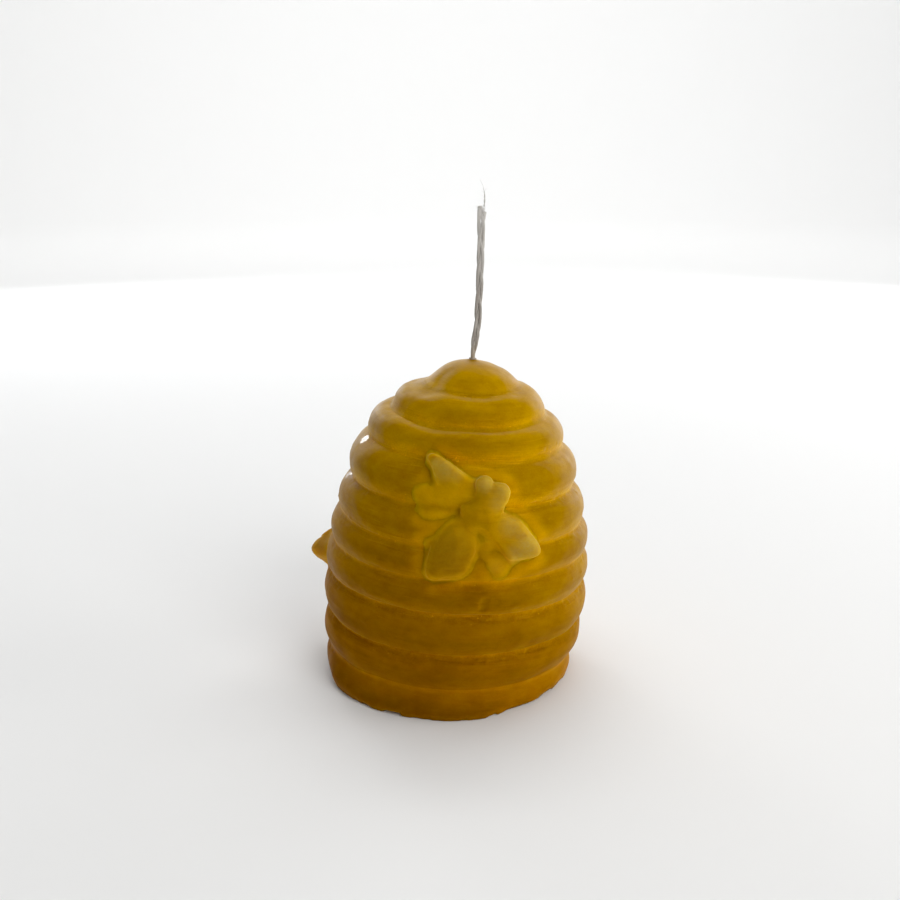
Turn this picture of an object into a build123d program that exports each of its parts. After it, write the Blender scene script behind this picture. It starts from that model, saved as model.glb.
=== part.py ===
from build123d import *
import math
import os

os.makedirs("parts", exist_ok=True)

# ---------------------------------------------------------------------------
# A cast beeswax candle in the shape of a straw skep (a coiled bee hive), with
# three bees in relief on its side and a flat braided cotton wick.
# Millimetres, +Z up.  The origin is the middle of the flat base.  -Y is the
# front, where the front bee sits.  The body leans a few degrees to +X, because
# its foot was cut flat but not quite square to its axis.
# ---------------------------------------------------------------------------

# --- whole candle ----------------------------------------------------------
lean_deg = 4.22          # the body's axis against the vertical, towards +X
body_top = 89.9          # crown of the dome, measured along the leaning axis
wick_width = 2.0         # the braid, and the bore that it was cast in
wick_rim = 0.45          # wax drawn up round the wick where it leaves the dome
foot_round = 0.7         # worn arris round the foot

# --- the grooves between the coils, from the top down ------------------------
# radius, height along the axis (the lip of the coil above the groove)
grooves = [
    (13.3, 83.3),
    (20.9, 75.5),
    (26.1, 68.2),
    (30.6, 57.6),
    (33.9, 47.6),
    (35.6, 39.6),
    (36.0, 30.4),
    (35.6, 18.6),
    (34.7, 8.0),
]
# how far each coil below a groove swells beyond its chord, part of the chord
swells = [0.20, 0.28, 0.226, 0.202, 0.215, 0.199, 0.169, 0.170, 0.11]
lip_step = 0.45          # the next coil starts this much further in ...
lip_drop = 0.55          # ... and this much lower than the lip
foot_radius = 34.95      # radius of the last coil at the foot
foot_depth = 4.6         # wax below the origin before the foot is cut flat

# --- bees: where each sits on the coils --------------------------------------
# azimuth (0 is the front, positive towards +X), height along the axis,
# radius of the seat, backward tilt of the seat, turn in the seat's plane
front_bee_seat = (7.5, 52.0, 34.3, 16.5, 0.0)
left_bee_seat = (-113.0, 28.0, 37.5, -1.5, 28.0)
back_bee_seat = (139.0, 46.0, 36.3, 12.5, -40.0)

# --- the relief of one bee, in its seat's plane -------------------------------
# x to the right, y up the hive, z outwards, 0 on the swell of the coils
root_depth = 9.0         # every piece runs this far into the hive's side
fore_wing_left = [(-3.0, 8.5), (-8.4, 6.6), (-9.7, 9.9), (-11.3, 12.4),
                  (-12.1, 15.4), (-13.1, 17.6), (-13.6, 19.2), (-12.7, 19.9),
                  (-11.6, 19.6), (-9.4, 18.2), (-6.7, 16.3), (-4.2, 14.3),
                  (-1.9, 13.2)]
fore_wing_right = [(0.4, 1.3), (2.0, -0.6), (4.7, -3.2), (7.3, -6.4),
                   (8.2, -6.8), (10.4, -6.0), (12.4, -5.6), (14.4, -5.2),
                   (15.7, -4.6), (16.2, -3.4), (15.6, -2.0), (14.2, -0.7),
                   (12.2, 0.8), (10.8, 2.4), (9.6, 3.5), (8.0, 4.3),
                   (6.2, 4.7), (3.0, 6.0)]
hind_wing_left = [(-5.0, 6.0), (-9.0, 4.9), (-11.0, 3.9), (-12.9, 3.8),
                  (-14.4, 4.8), (-15.4, 6.6), (-16.2, 8.6), (-16.4, 10.6),
                  (-14.8, 11.4), (-13.2, 10.6), (-12.0, 8.9), (-8.0, 9.0)]
hind_wing_right = [(0.5, -2.0), (0.9, -5.0), (1.3, -7.2), (2.2, -9.3),
                   (3.9, -10.7), (5.7, -10.9), (7.2, -9.8), (8.2, -7.8),
                   (6.4, -4.6), (3.6, -1.6)]
abdomen = [(-6.2, 2.7), (-7.6, 2.7), (-8.8, 1.7), (-10.6, -0.5),
           (-12.0, -3.1), (-12.9, -5.8), (-13.3, -8.4), (-13.2, -10.4),
           (-12.3, -11.7), (-10.6, -11.9), (-8.3, -11.3), (-5.2, -11.0),
           (-2.4, -11.0), (-1.2, -10.1), (-1.0, -7.5), (-0.9, -4.6),
           (-0.8, -2.0), (-1.7, -0.2), (-3.4, 1.1), (-4.8, 2.2)]
fore_wing_top = 1.3
hind_wing_top = -0.3
abdomen_top = 2.4
abdomen_round = 1.2
waist_top = 0.6
thorax_centre = (-0.2, 6.4)
thorax_long = 5.0
thorax_half_width = 4.2
thorax_rise = 0.6
eye_left = (-0.5, 12.2)
eye_right = (3.9, 10.8)
eye_radius = 2.25
eye_rise = 1.7

# --- wick ----------------------------------------------------------------------
# middle line of the free wick from where it leaves the wax to its cut end
wick_route = [
    (6.649, 0.0, 90.105),
    (6.885, 0.0, 93.305),
    (7.85, -0.05, 98.3),
    (8.15, 0.05, 105.5),
    (8.42, 0.0, 113.6),
    (8.60, 0.05, 121.6),
    (8.63, 0.0, 129.5),
]
# one yarn of the braid that has come loose at the cut end
yarn_diameter = 0.55
yarn_offset = 0.68       # it leaves the end of the wick off its middle
yarn_route = [
    (0.0, 0.0, 0.0),
    (0.14, -0.03, 2.0),
    (-0.05, -0.10, 3.7),
    (-0.45, -0.06, 5.2),
    (-1.15, 0.02, 6.6),
]

# ---------------------------------------------------------------------------
# working planes
# ---------------------------------------------------------------------------
lean = math.radians(lean_deg)
axis_dir = Vector(math.sin(lean), 0, math.cos(lean))
across_dir = Vector(math.cos(lean), 0, -math.sin(lean))
body_axis = Axis((0, 0, 0), tuple(axis_dir))
section_plane = Plane(origin=(0, 0, 0), x_dir=across_dir, z_dir=(0, -1, 0))
bore_plane = Plane(origin=axis_dir * -foot_depth, x_dir=across_dir, z_dir=axis_dir)
wick_radius = wick_width / 2


def seat_plane(azimuth, height, radius, tilt, turn):
    """The plane of one bee: z out of the hive's side, y up the side."""
    a = math.radians(azimuth)
    t = math.radians(tilt)
    k = math.radians(turn)
    side = across_dir * math.sin(a) + Vector(0, -1, 0) * math.cos(a)
    outward = side * math.cos(t) + axis_dir * math.sin(t)
    upward = axis_dir * math.cos(t) - side * math.sin(t)
    right = upward.cross(outward)
    return Plane(
        origin=side * radius + axis_dir * height,
        x_dir=right * math.cos(k) + upward * math.sin(k),
        z_dir=outward,
    )


def corner_radii(points):
    """Bend radii of a route: 0.45 of the shorter run over tan(half the turn)."""
    route = [Vector(*p) for p in points]
    radii = []
    for before, here, after in zip(route, route[1:], route[2:]):
        turn = math.radians((here - before).get_angle(after - here))
        run = min((here - before).length, (after - here).length)
        radii.append(0.45 * run / math.tan(turn / 2))
    return radii


# ---------------------------------------------------------------------------
# wax body: nine coils and the dome, turned about the leaning axis, bored for
# the wick and cut flat at the foot
# ---------------------------------------------------------------------------
with BuildPart() as wax_body:
    with BuildSketch(section_plane) as coil_section:
        with BuildLine() as coil_outline:
            # collar of wax drawn up round the wick, then the dome
            Line((0, -foot_depth), (0, body_top + wick_rim))
            Line((0, body_top + wick_rim), (wick_radius + 0.12, body_top + wick_rim))
            ThreePointArc(
                (wick_radius + 0.12, body_top + wick_rim),
                (wick_radius + 0.55, body_top - 0.1),
                (wick_radius + 1.9, body_top - 0.35),
            )
            ThreePointArc(
                (wick_radius + 1.9, body_top - 0.35),
                (8.7, body_top - 2.35),
                grooves[0],
            )
            ends = grooves[1:] + [(foot_radius, -1.5)]
            for (r0, z0), (r1, z1), swell in zip(grooves, ends, swells):
                top = (r0 - lip_step, z0 - lip_drop)
                Line((r0, z0), top)
                dr, dz = r1 - top[0], z1 - top[1]
                middle = (
                    (top[0] + r1) / 2 - dz * swell,
                    (top[1] + z1) / 2 + dr * swell,
                )
                ThreePointArc(top, middle, (r1, z1))
            Line((foot_radius, -1.5), (foot_radius - 0.6, -foot_depth))
            Line((foot_radius - 0.6, -foot_depth), (0, -foot_depth))
        make_face()
    revolve(axis=body_axis)
    split(bisect_by=Plane.XY, keep=Keep.TOP)
    fillet(
        wax_body.edges().group_by(Axis.Z)[0],
        radius=foot_round,
    )
    with BuildSketch(bore_plane):
        Circle(wick_radius)
    extrude(amount=body_top + wick_rim + foot_depth + 1, mode=Mode.SUBTRACT)
wax_body.part.label = "wax_body"

# ---------------------------------------------------------------------------
# the relief of one bee, still running deep into the hive's side
# ---------------------------------------------------------------------------
with BuildPart() as bee_relief:
    # fore wings: flat blades whose tips stand proud of the round side
    for outline in (fore_wing_left, fore_wing_right):
        with BuildSketch(Plane.XY.offset(fore_wing_top)):
            with BuildLine():
                Polyline(outline, close=True)
            make_face()
        extrude(amount=-(fore_wing_top + root_depth))
    # hind wings: low blades behind the fore wings
    for outline in (hind_wing_left, hind_wing_right):
        with BuildSketch(Plane.XY.offset(hind_wing_top)):
            with BuildLine():
                Polyline(outline, close=True)
            make_face()
        extrude(amount=-(hind_wing_top + root_depth))
    # waist: joins the thorax to the abdomen, lower than both
    with BuildSketch(Plane.XY.offset(waist_top)):
        with BuildLine():
            Polyline([(-5.5, 4.5), (-5.4, 0.5), (-1.5, -1.5), (1.5, 2.0)], close=True)
        make_face()
    extrude(amount=-(waist_top + root_depth))
    # thorax: an egg lying on the wings' roots, along the bee's own length
    with BuildSketch(
        Plane(
            origin=(thorax_centre[0], thorax_centre[1], thorax_rise),
            x_dir=(math.cos(math.radians(58)), math.sin(math.radians(58)), 0),
            z_dir=(0, 0, 1),
        )
    ):
        Ellipse(thorax_long, thorax_half_width)
        with Locations((0, -thorax_half_width)):
            Rectangle(4 * thorax_long, 2 * thorax_half_width, mode=Mode.SUBTRACT)
    revolve(
        axis=Axis(
            (thorax_centre[0], thorax_centre[1], thorax_rise),
            (math.cos(math.radians(58)), math.sin(math.radians(58)), 0),
        )
    )
    # head: two large round eyes and the brow between them
    with Locations((*eye_left, eye_rise), (*eye_right, eye_rise)):
        Sphere(eye_radius)
    with BuildSketch(Plane.XY.offset(2.2)):
        with BuildLine():
            Polyline([(-1.6, 8.0), (-1.5, 12.6), (4.8, 11.6), (4.6, 7.0)], close=True)
        make_face()
    extrude(amount=-(2.2 + root_depth))

with BuildPart() as bee_abdomen:
    with BuildSketch(Plane.XY.offset(abdomen_top)):
        with BuildLine():
            Polyline(abdomen, close=True)
        make_face()
    extrude(amount=-(abdomen_top + root_depth))
    chamfer(bee_abdomen.faces().sort_by(Axis.Z)[-1].edges(), length=abdomen_round)

with BuildPart() as front_bee:
    with Locations(seat_plane(*front_bee_seat).location):
        add(bee_relief.part)
        add(bee_abdomen.part)
    add(wax_body.part, mode=Mode.SUBTRACT)
front_bee.part.label = "front_bee"

with BuildPart() as left_bee:
    with Locations(seat_plane(*left_bee_seat).location):
        add(bee_relief.part)
        add(bee_abdomen.part)
    add(wax_body.part, mode=Mode.SUBTRACT)
left_bee.part.label = "left_bee"

with BuildPart() as back_bee:
    with Locations(seat_plane(*back_bee_seat).location):
        add(bee_relief.part)
        add(bee_abdomen.part)
    add(wax_body.part, mode=Mode.SUBTRACT)
back_bee.part.label = "back_bee"

# ---------------------------------------------------------------------------
# wick: one braid, cut flush at the foot, running up through the wax
# ---------------------------------------------------------------------------
with BuildPart() as wick_core:
    with BuildSketch(bore_plane):
        Circle(wick_radius)
    extrude(amount=body_top + wick_rim + foot_depth)
    split(bisect_by=Plane.XY, keep=Keep.TOP)
wick_core.part.label = "wick_core"

# the free stretch starts on the core's end face
wick_start = axis_dir * (body_top + wick_rim)
first_bend = wick_start + axis_dir * 3.2   # it leaves the wax in line with the bore
free_route = [tuple(wick_start), tuple(first_bend)] + wick_route[2:]
free_radii = corner_radii(free_route)
with BuildPart() as wick_free:
    with BuildLine() as wick_line:
        FilletPolyline(*free_route, radius=free_radii)
    with BuildSketch(Plane(origin=wick_start, x_dir=across_dir, z_dir=wick_line.line % 0)):
        Circle(wick_radius)
    sweep()
wick_free.part.label = "wick_free"

# the loose yarn starts on the free wick's end face
wick_end = wick_line.line @ 1
end_dir = wick_line.line % 1
end_plane = Plane(origin=wick_end, x_dir=(1, 0, 0), z_dir=end_dir)
yarn_points = [
    tuple(end_plane.from_local_coords(Vector(p[0] + yarn_offset, p[1], p[2])))
    for p in yarn_route
]
yarn_radii = corner_radii(yarn_points)
with BuildPart() as wick_loose_yarn:
    with BuildLine() as yarn_line:
        FilletPolyline(*yarn_points, radius=yarn_radii)
    with BuildSketch(Plane(origin=yarn_line.line @ 0, x_dir=(1, 0, 0), z_dir=yarn_line.line % 0)):
        Circle(yarn_diameter / 2)
    sweep()
wick_loose_yarn.part.label = "wick_loose_yarn"

wick_length = sum(edge.length for edge in wick_line.edges())
yarn_length = sum(edge.length for edge in yarn_line.edges())
print("wick radii", [round(r, 1) for r in free_radii], "length", round(wick_length, 2))
print("yarn radii", [round(r, 2) for r in yarn_radii], "length", round(yarn_length, 2))
print("yarn points", [tuple(round(c, 3) for c in p) for p in yarn_points])
print("wick start", wick_start, "end", wick_end)
print(
    "wick volume against section times length",
    round(wick_free.part.volume, 3),
    round(math.pi * wick_radius ** 2 * wick_length, 3),
)

export_step(wax_body.part, "parts/wax_body.step")
export_step(front_bee.part, "parts/front_bee.step")
export_step(left_bee.part, "parts/left_bee.step")
export_step(back_bee.part, "parts/back_bee.step")
export_step(wick_core.part, "parts/wick_core.step")
export_step(wick_free.part, "parts/wick_free.step")
export_step(wick_loose_yarn.part, "parts/wick_loose_yarn.step")
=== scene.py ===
import math

import bpy
import numpy as np
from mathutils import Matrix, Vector
from mathutils.bvhtree import BVHTree
from mathutils.kdtree import KDTree


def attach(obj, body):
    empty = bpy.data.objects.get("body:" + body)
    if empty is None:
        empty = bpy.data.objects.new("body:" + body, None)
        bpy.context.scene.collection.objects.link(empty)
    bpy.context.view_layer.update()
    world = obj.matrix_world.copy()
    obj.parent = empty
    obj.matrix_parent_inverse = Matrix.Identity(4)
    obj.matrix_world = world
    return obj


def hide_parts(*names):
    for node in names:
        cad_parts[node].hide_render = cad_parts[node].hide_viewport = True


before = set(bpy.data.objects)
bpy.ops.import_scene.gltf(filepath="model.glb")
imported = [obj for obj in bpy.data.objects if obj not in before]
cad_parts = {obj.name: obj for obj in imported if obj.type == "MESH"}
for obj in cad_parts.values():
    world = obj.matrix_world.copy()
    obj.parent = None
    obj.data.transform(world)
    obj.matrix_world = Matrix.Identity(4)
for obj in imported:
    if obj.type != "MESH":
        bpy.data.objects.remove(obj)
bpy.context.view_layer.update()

MM = 0.001
scene = bpy.context.scene

# ---------------------------------------------------------------------------
# camera: 19 degrees above the table, about 30 cm away, a little wide
# ---------------------------------------------------------------------------
ELEV = math.radians(18.80)
DIST = 0.29879
AIM = Vector((0.0, 0.0, 0.045))
cam_data = bpy.data.cameras.new("camera")
cam = bpy.data.objects.new("camera", cam_data)
scene.collection.objects.link(cam)
cam.location = AIM + Vector((0, -math.cos(ELEV), math.sin(ELEV))) * DIST
cam.rotation_euler = (math.pi / 2 - ELEV, 0, 0)
cam_data.sensor_width = 36.0
cam_data.lens = 42.01
cam_data.shift_x = 0.00195
cam_data.shift_y = 0.07286
cam_data.clip_start = 0.01
cam_data.clip_end = 50
scene.camera = cam

# ---------------------------------------------------------------------------
# the body's frame: its axis leans towards +X
# ---------------------------------------------------------------------------
LEAN = math.radians(4.22)
CL, SL = math.cos(LEAN), math.sin(LEAN)


def to_row(p):
    """Points in the leaning body's frame, mm, to the row frame, mm."""
    p = np.asarray(p, float)
    return np.stack(
        [p[..., 0] * CL + p[..., 2] * SL, p[..., 1], -p[..., 0] * SL + p[..., 2] * CL],
        -1,
    )


# ---------------------------------------------------------------------------
# seeded lattice noise, smooth, about -1 to 1
# ---------------------------------------------------------------------------
def _lattice(ix, iy, iz, seed):
    h = (
        ix.astype(np.uint32) * np.uint32(374761393)
        + iy.astype(np.uint32) * np.uint32(668265263)
        + iz.astype(np.uint32) * np.uint32(2246822519)
        + np.uint32((seed * 3266489917) & 0xFFFFFFFF)
    )
    h = (h ^ (h >> np.uint32(15))) * np.uint32(2246822519)
    h = (h ^ (h >> np.uint32(13))) * np.uint32(3266489917)
    h = h ^ (h >> np.uint32(16))
    return (h & np.uint32(0xFFFF)).astype(np.float64) / 32767.5 - 1.0


def noise(x, y, z, seed):
    x, y, z = np.broadcast_arrays(x, y, z)
    x, y, z = x + 4096.0, y + 4096.0, z + 4096.0
    ix, iy, iz = np.floor(x).astype(np.int64), np.floor(y).astype(np.int64), np.floor(z).astype(np.int64)
    fx, fy, fz = x - ix, y - iy, z - iz
    fx, fy, fz = (f * f * f * (f * (f * 6 - 15) + 10) for f in (fx, fy, fz))
    out = 0.0
    for dx in (0, 1):
        wx = fx if dx else 1 - fx
        for dy in (0, 1):
            wy = fy if dy else 1 - fy
            for dz in (0, 1):
                wz = fz if dz else 1 - fz
                out = out + wx * wy * wz * _lattice(ix + dx, iy + dy, iz + dz, seed)
    return out


def fbm(x, y, z, seed, octaves=3):
    out, amp, k = 0.0, 1.0, 1.0
    for o in range(octaves):
        out = out + amp * noise(x * k, y * k, z * k, seed + 17 * o)
        amp *= 0.5
        k *= 2.03
    return out


def smooth(a, b, x):
    t = np.clip((x - a) / (b - a), 0, 1)
    return t * t * (3 - 2 * t)


# ---------------------------------------------------------------------------
# wax body: dome and coils, with the unevenness of the casting
# ---------------------------------------------------------------------------
BODY_TOP = 89.9
GROOVES = [
    (13.3, 83.3),
    (20.9, 75.5),
    (26.1, 68.2),
    (30.6, 57.6),
    (33.9, 47.6),
    (35.6, 39.6),
    (36.0, 30.4),
    (35.6, 18.6),
    (34.7, 8.0),
]
# how far each groove wanders from a level ring: constant, cos, sin, cos 2, sin 2
WANDER = [
    (0.55, -0.55, -0.30, -0.25, 0.10),
    (0.60, -0.55, 0.40, -0.20, 0.20),
    (0.25, -0.20, 0.20, -0.05, 0.12),
    (0.30, -0.20, 0.70, -0.05, 0.25),
    (0.45, -0.40, 0.65, -0.15, 0.15),
    (-0.05, 0.05, 0.80, 0.00, 0.20),
    (-0.30, 0.30, 0.90, 0.00, -0.10),
    (0.30, -0.10, 1.50, -0.20, -0.05),
    (0.20, 0.00, 1.20, -0.10, 0.08),
]
SWELLS = [0.20, 0.28, 0.226, 0.202, 0.215, 0.199, 0.169, 0.170, 0.11]
STEP, DROP = 0.45, 0.55
FOOT_R = 34.95
NA = 512          # points round
PER_COIL = 34     # rows in each coil


def wander(i, az):
    c = WANDER[i]
    return (
        c[0]
        + c[1] * np.cos(az)
        + c[2] * np.sin(az)
        + c[3] * np.cos(2 * az)
        + c[4] * np.sin(2 * az)
    )


az = np.linspace(0, 2 * math.pi, NA, endpoint=False)  # 0 is the front, + towards +X
rows_r, rows_z, rows_lip, rows_coil = [], [], [], []


def add_row(r, z, lip, coil):
    """lip is how far below the lip of its groove a row lies, in mm."""
    rows_r.append(np.broadcast_to(r, az.shape).copy())
    rows_z.append(np.broadcast_to(z, az.shape).copy())
    rows_lip.append(np.broadcast_to(lip, az.shape).copy())
    rows_coil.append(np.full(az.shape, float(coil)))


# dome, from the collar round the wick down to the first groove
crown = BODY_TOP
r0, z0 = GROOVES[0]
z0 = z0 + wander(0, az)
for k, (r, dz) in enumerate(
    [(0.55, 0.26), (0.85, 0.24), (1.05, 0.17), (1.25, 0.06), (1.5, -0.05), (1.85, -0.15), (2.3, -0.26)]
):
    add_row(r, crown + dz, 30.0, -1)
for t in np.linspace(0.03, 1, 34):
    p0, p1, p2 = (2.3, crown - 0.26), (8.4, crown - 1.25), (11.9, None)
    u = t
    zz2 = z0 + (crown - z0) * 0.42
    r = (1 - u) ** 3 * p0[0] + 3 * (1 - u) ** 2 * u * p1[0] + 3 * (1 - u) * u * u * p2[0] + u ** 3 * r0
    z = (1 - u) ** 3 * p0[1] + 3 * (1 - u) ** 2 * u * p1[1] + 3 * (1 - u) * u * u * zz2 + u ** 3 * z0
    add_row(r, z, 30.0 + 12 * (1 - t), -1)

for i in range(len(GROOVES)):
    ri, zi = GROOVES[i]
    zi = zi + wander(i, az)
    # the lip turns in under the coil above
    soft = 0.55 if i < 3 else 1.0
    step, drop = STEP * soft, DROP * soft
    for f in (0.25, 0.5, 0.75):
        add_row(ri - step * f ** 0.7, zi - drop * f, drop * f, i)
    top_r, top_z = ri - step, zi - drop
    if i + 1 < len(GROOVES):
        rj, zj = GROOVES[i + 1]
        zj = zj + wander(i + 1, az)
        ts = np.linspace(0, 1, PER_COIL)
        for t in ts:
            lx, lz = rj - top_r, zj - top_z
            length = np.sqrt(lx * lx + lz * lz)
            half = 2 * math.atan(2 * SWELLS[i])
            q = half * (2 * t - 1)
            along = 0.5 * (math.sin(q) / math.sin(half) + 1)
            out = (math.cos(q) - math.cos(half)) / (2 * math.sin(half))
            # the coil's lower edge comes in sharply, its upper edge more gently
            add_row(top_r + lx * along - lz * out, top_z + lz * along + lx * out, drop + t * length, i)
    else:
        # last coil, cut flat at the foot, not square to the axis
        foot = FOOT_R * np.sin(az) * math.tan(LEAN)
        for t in np.linspace(0, 1, PER_COIL):
            z = top_z + (foot - top_z) * t
            full = top_z + 1.5
            s = np.clip((top_z - z) / full, 0, 1)
            bulge = 4 * 0.115 * 9.0 * s * (1 - s)
            r = top_r + (FOOT_R - top_r) * s + bulge - np.clip(-1.5 - z, 0, 9) * 0.16
            h = z - foot
            arris = 0.75
            inset = np.where(h < arris, arris - np.sqrt(np.clip(arris ** 2 - (arris - h) ** 2, 0, None)), 0)
            add_row(r - inset, z, drop + (top_z - z), i)

R = np.array(rows_r)
Z = np.array(rows_z)
LIP = np.array(rows_lip)
COIL = np.array(rows_coil)
NR = len(R)
A = np.broadcast_to(az, R.shape)

# the wax has run into the grooves: most of all near the top, least in the two
# low ones, which stay crisp
MELT = [1.25, 0.85, 0.75, 0.62, 0.58, 0.55, 0.36, 0.36, 0.8]
span = np.concatenate([[0], np.cumsum(np.hypot(np.diff(R.mean(1)), np.diff(Z.mean(1))))])
spacing = np.gradient(span)
want_sigma = np.zeros(NR)
for i in range(len(GROOVES)):
    at = span[np.argmax(COIL[:, 0] == i)]
    fall = np.exp(-(((span - at) / (2.0 * MELT[i] + 1.0)) ** 2))
    want_sigma = np.maximum(want_sigma, MELT[i] * fall)
want_sigma[span < 9] *= smooth(3.0, 9.0, span[span < 9])
want_sigma *= smooth(span[-1] - 1.2, span[-1] - 3.5, span)
ROUNDS = 130
weight = np.clip(2 * (want_sigma / spacing) ** 2 / ROUNDS, 0, 0.95)[1:-1, None]
for _ in range(ROUNDS):
    R[1:-1] += weight * (0.5 * (R[:-2] + R[2:]) - R[1:-1])
    Z[1:-1] += weight * (0.5 * (Z[:-2] + Z[2:]) - Z[1:-1])

# surface detail, pushed out along the outline's own normal
dr = np.gradient(R, axis=0)
dz = np.gradient(Z, axis=0)
nl = np.sqrt(dr * dr + dz * dz) + 1e-9
nr_, nz_ = -dz / nl, dr / nl
cx, cy = np.sin(A), -np.cos(A)
PX, PY = R * cx, R * cy

height_foot = Z - FOOT_R * np.sin(A) * math.tan(LEAN)
top_fade = smooth(0.0, 5.0, R - 1.0)
front_right = smooth(-0.9, 0.5, np.cos(A - 0.6))
d = 0.20 * fbm(PX / 15, PY / 15, Z / 7, 3, 3) * top_fade
d += 0.06 * fbm(PX / 4.2, PY / 4.2, Z / 2.6, 11, 2) * top_fade
# scrape lines that run with the coils, closest together about the grooves
la = A * 36.0
line1 = noise(la / 13 + 2 * np.cos(A), np.sin(A) * 3.0, Z / 0.46, 29)
line2 = noise(la / 7, np.sin(A) * 5.0, Z / 0.33, 31)
line3 = noise(la / 24, np.sin(A) * 2.0, Z / 0.9, 37)
streak = line1 + 0.7 * line2
near = np.exp(-(((LIP - 0.6) / 2.2) ** 2))
above = np.zeros_like(R)
for i in range(len(GROOVES)):
    gz = GROOVES[i][1] + wander(i, A)
    above = np.maximum(above, np.exp(-(((Z - gz - 0.8) / 1.7) ** 2)))
seam = np.maximum(near, above)
upper = smooth(5.5, 0.5, COIL) * smooth(-1.0, 0.2, COIL)
patch = smooth(-0.35, 0.45, fbm(PX / 11, PY / 11, Z / 9, 41, 2))
d += (streak * (0.014 + seam * (0.022 + 0.060 * upper)) * (0.35 + 0.9 * patch) + 0.022 * line3) * top_fade * smooth(9, 18, R)
# low grooves: the coil above ends in a sharp lip and a rough recessed band
# runs below it, with torn crumbs of wax towards the right
low = np.select([COIL == 6, COIL == 7, COIL == 5, COIL == 4, COIL == 3], [1.0, 1.0, 0.45, 0.35, 0.3], 0.0)
band = smooth(-0.1, 0.22, LIP) * smooth(3.1, 1.7, LIP) * low
gap = 0.55 + 0.45 * smooth(-0.4, 0.3, fbm(PX / 9, PY / 9, Z / 20, 61, 2))
d -= 0.26 * band * gap
grain = fbm(PX / 0.62, PY / 0.62, Z / 0.5, 53, 2)
crumb = np.clip(fbm(PX / 1.1, PY / 1.1, Z / 0.7, 57, 2) - 0.12, 0, 1)
d += band * (0.085 * grain + 0.42 * crumb * front_right)
d += (1 - low) * seam * 0.035 * grain * patch * (COIL >= 1)
# a lip that is nicked here and there
lip_mask = np.exp(-(((LIP + 0.05) / 0.45) ** 2)) * (COIL >= 0) * low
d -= 0.22 * lip_mask * np.clip(fbm(PX / 1.6, PY / 1.6, Z * 0, 71, 2), 0, 1)
# chips and flats along the foot
foot_mask = np.exp(-((height_foot / 1.2) ** 2))
chip = np.clip(fbm(PX / 3.0, PY / 3.0, 0 * Z, 83, 3) - 0.10, 0, 1)
d -= foot_mask * (0.7 * chip + 0.14 * np.abs(noise(PX / 0.9, PY / 0.9, Z / 0.9, 89)))
broken = smooth(0.10, 0.42, fbm(PX / 4.6, PY / 4.6, 0 * Z, 85, 2))
d -= 1.5 * broken * smooth(1.5 + 0.8 * noise(PX / 2.0, PY / 2.0, 0 * Z, 86), 0.3, height_foot)
# the foot's band is knocked flat in places
d -= 0.5 * smooth(6.5, 1.0, height_foot) * smooth(0.1, 0.7, fbm(PX / 13, PY / 13, 0 * Z, 87, 1))
# small beads and pits of wax, and the dent in the coil under the front bee
rng = np.random.default_rng(5)
for _ in range(120):
    ba = rng.uniform(0, 2 * math.pi)
    bz = rng.uniform(4, 84)
    br = rng.uniform(0.28, 0.6)
    bh = rng.uniform(0.08, 0.22) * (1 if rng.random() < 0.6 else -1)
    lengthen = rng.uniform(1.0, 3.0)
    da = (A - ba + math.pi) % (2 * math.pi) - math.pi
    dist2 = (da * R / lengthen) ** 2 + (Z - bz) ** 2
    d += bh * np.exp(-dist2 / (br * br))
da = (A - math.radians(10.5) + math.pi) % (2 * math.pi) - math.pi
d -= 0.50 * smooth(1.3, 0.6, np.abs(da * R)) * smooth(2.3, 1.4, np.abs(Z - 33.8))

d = np.clip(d, -2.6, 0.34) - 0.06


def about(mid, half, soft):
    """1 within half of an azimuth, fading out over soft, all in degrees."""
    off = np.abs((np.degrees(A) - mid + 180) % 360 - 180)
    return smooth(half + soft, half, off)


# the foot spreads towards the front and left, where the wax stood longest
d += 1.65 * about(-22, 36, 17) * smooth(9.0, 1.5, height_foot)
d += 0.45 * about(-80, 30, 20) * smooth(0.5, 4.0, height_foot) * smooth(24.0, 17.0, height_foot)
d -= 0.45 * about(62, 14, 10) * smooth(3.0, 0.5, height_foot)
# the right flank is fuller low down and its coils run together there
d += 0.95 * about(84, 24, 22) * np.exp(-(((Z - 21.0) / 8.5) ** 2))
# the dome is drawn down on the left and full on the right
d -= about(-92, 34, 40) * (1.6 * np.exp(-(((R - 11.8) / 4.2) ** 2)) + 1.1 * np.exp(-(((R - 16.5) / 2.6) ** 2))) * (Z > 70)
d += 0.60 * about(80, 34, 30) * np.exp(-(((R - 15.5) / 4.5) ** 2)) * (Z > 70)
# the upper coils bulge a little on the left
d += 0.8 * about(-90, 34, 32) * smooth(52.0, 60.0, Z) * smooth(78.0, 73.5, Z)
widest = np.where(np.cos(A) < -0.5, 37.42 / np.maximum(-np.cos(A), 0.5), 38.9)
R2 = np.minimum(R + nr_ * d, widest)
Z2 = Z + nz_ * d
Z2 = np.where(height_foot < 1e-6, Z, Z2)

P = np.stack([R2 * cx, R2 * cy, Z2], -1)
W = to_row(P)
W[..., 2] = np.maximum(W[..., 2], 0.0)
W[NR - 1, :, 2] = 0.0
verts = list(W.reshape(-1, 3))
faces = []
idx = np.arange(NR * NA).reshape(NR, NA)
a = idx[:-1]
b = idx[1:]
quads = np.stack([a, b, np.roll(b, -1, 1), np.roll(a, -1, 1)], -1).reshape(-1, 4)

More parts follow.
